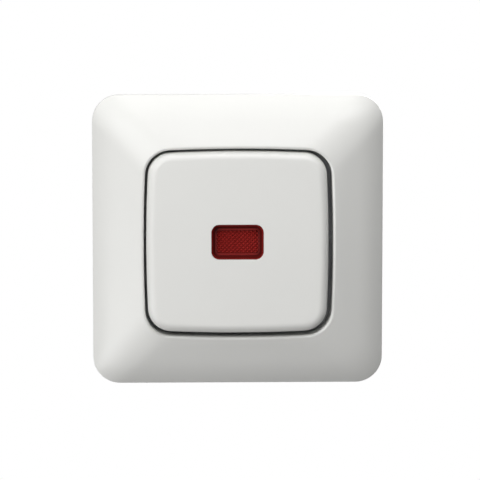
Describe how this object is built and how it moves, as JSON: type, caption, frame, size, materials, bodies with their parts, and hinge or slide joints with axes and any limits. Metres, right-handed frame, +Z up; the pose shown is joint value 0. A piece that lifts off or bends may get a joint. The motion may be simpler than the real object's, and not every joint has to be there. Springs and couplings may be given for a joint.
{
  "type": "rocker light switch",
  "caption": "Flush-mounted rocker switch with a square cover frame, a tilting rocker and a red indicator lens, on a steel plate with its contact base behind.",
  "frame": {"origin": "on the wall plane, at the middle of the mounting plate's back face", "axes": "+Y into the wall, +Z up, the rocker faces -Y"},
  "size_m": [0.0804, 0.0398, 0.0804],
  "materials": {
    "white_cover": "smooth moulded, semi-gloss white",
    "red_lens": "translucent red moulding with a fine diamond pattern",
    "grey_moulding": "fine matt grey moulding",
    "cream_moulding": "matt cream moulding",
    "zinc_plate": "bright zinc plating on pressed steel",
    "contact_brass": "pressed brass, slightly dull",
    "spring_steel": "bright spring steel",
    "clear_glass": "clear drawn glass"
  },
  "bodies": {
    "base": {"cover_frame": "white_cover", "bearing_cover": "grey_moulding", "mounting_plate": "zinc_plate", "switch_base": "grey_moulding", "base_rivets": "zinc_plate", "contact_common": "contact_brass", "contact_one": "contact_brass", "contact_two": "contact_brass", "neutral_bar": "contact_brass", "clamp_spring_1": "spring_steel", "clamp_spring_2": "spring_steel", "clamp_spring_3": "spring_steel", "clamp_spring_4": "spring_steel", "lamp_holder": "cream_moulding", "lamp_glass": "clear_glass", "lamp_pins": "contact_brass"},
    "rocker": {"rocker": "white_cover", "lens": "red_lens", "rocker_carrier": "grey_moulding", "toggle_spring": "spring_steel"},
    "plunger": {"plunger": "cream_moulding"},
    "seesaw": {"contact_seesaw": "contact_brass"},
    "lever_upper": {"release_lever_upper": "cream_moulding"},
    "lever_lower": {"release_lever_lower": "cream_moulding"},
    "claw_screw_left": {"claw_screw_left": "zinc_plate"},
    "claw_nut_left": {"claw_nut_left": "zinc_plate"},
    "claw_left": {"claw_left": "zinc_plate"},
    "claw_screw_right": {"claw_screw_right": "zinc_plate"},
    "claw_nut_right": {"claw_nut_right": "zinc_plate"},
    "claw_right": {"claw_right": "zinc_plate"}
  },
  "joints": [
    {"name": "rocker_tilt", "type": "hinge", "parent": "base", "child": "rocker", "pos_m": [0, -0.004, 0], "axis": [1, 0, 0], "range_deg": [0, 6]},
    {"name": "seesaw_tilt", "type": "hinge", "parent": "base", "child": "seesaw", "pos_m": [0.01, 0.0085, 0], "axis": [1, 0, 0], "range_deg": [-10, 0]},
    {"name": "plunger_slide", "type": "slide", "parent": "rocker", "child": "plunger", "axis": [0, -0.9986, 0.0523], "range_m": [0, 0.0012], "stiffness_N_per_m": 400, "springref_m": -0.0004, "deforming": ["toggle_spring"]},
    {"name": "lever_upper_press", "type": "slide", "parent": "base", "child": "lever_upper", "axis": [0, -1, 0], "range_m": [0, 0.0012], "stiffness_N_per_m": 500, "springref_m": -0.0003},
    {"name": "lever_lower_press", "type": "slide", "parent": "base", "child": "lever_lower", "axis": [0, -1, 0], "range_m": [0, 0.0012], "stiffness_N_per_m": 500, "springref_m": -0.0003},
    {"name": "claw_screw_left_turn", "type": "hinge", "parent": "base", "child": "claw_screw_left", "pos_m": [-0.0235, 0, 0], "axis": [0, 1, 0], "range_deg": [0, 1331]},
    {"name": "claw_nut_left_slide", "type": "slide", "parent": "base", "child": "claw_nut_left", "axis": [0, -1, 0], "range_m": [0, 0.00185]},
    {"name": "claw_left_swing", "type": "hinge", "parent": "base", "child": "claw_left", "pos_m": [-0.0208, 0.0026, 0], "axis": [0, 0, 1], "range_deg": [0, 20.1]},
    {"name": "claw_screw_right_turn", "type": "hinge", "parent": "base", "child": "claw_screw_right", "pos_m": [0.0235, 0, 0], "axis": [0, 1, 0], "range_deg": [0, 1331]},
    {"name": "claw_nut_right_slide", "type": "slide", "parent": "base", "child": "claw_nut_right", "axis": [0, -1, 0], "range_m": [0, 0.00185]},
    {"name": "claw_right_swing", "type": "hinge", "parent": "base", "child": "claw_right", "pos_m": [0.0208, 0.0026, 0], "axis": [0, 0, -1], "range_deg": [0, 20.1]}
  ],
  "couplings": [
    {"joint": "seesaw_tilt", "follows": "rocker_tilt", "ratio": -1.6667},
    {"joint": "claw_screw_left_turn", "follows": "claw_nut_left_slide", "rad_per_m": 12566},
    {"joint": "claw_left_swing", "follows": "claw_nut_left_slide", "rad_per_m": 188.97},
    {"joint": "claw_screw_right_turn", "follows": "claw_nut_right_slide", "rad_per_m": 12566},
    {"joint": "claw_right_swing", "follows": "claw_nut_right_slide", "rad_per_m": 188.97}
  ]
}
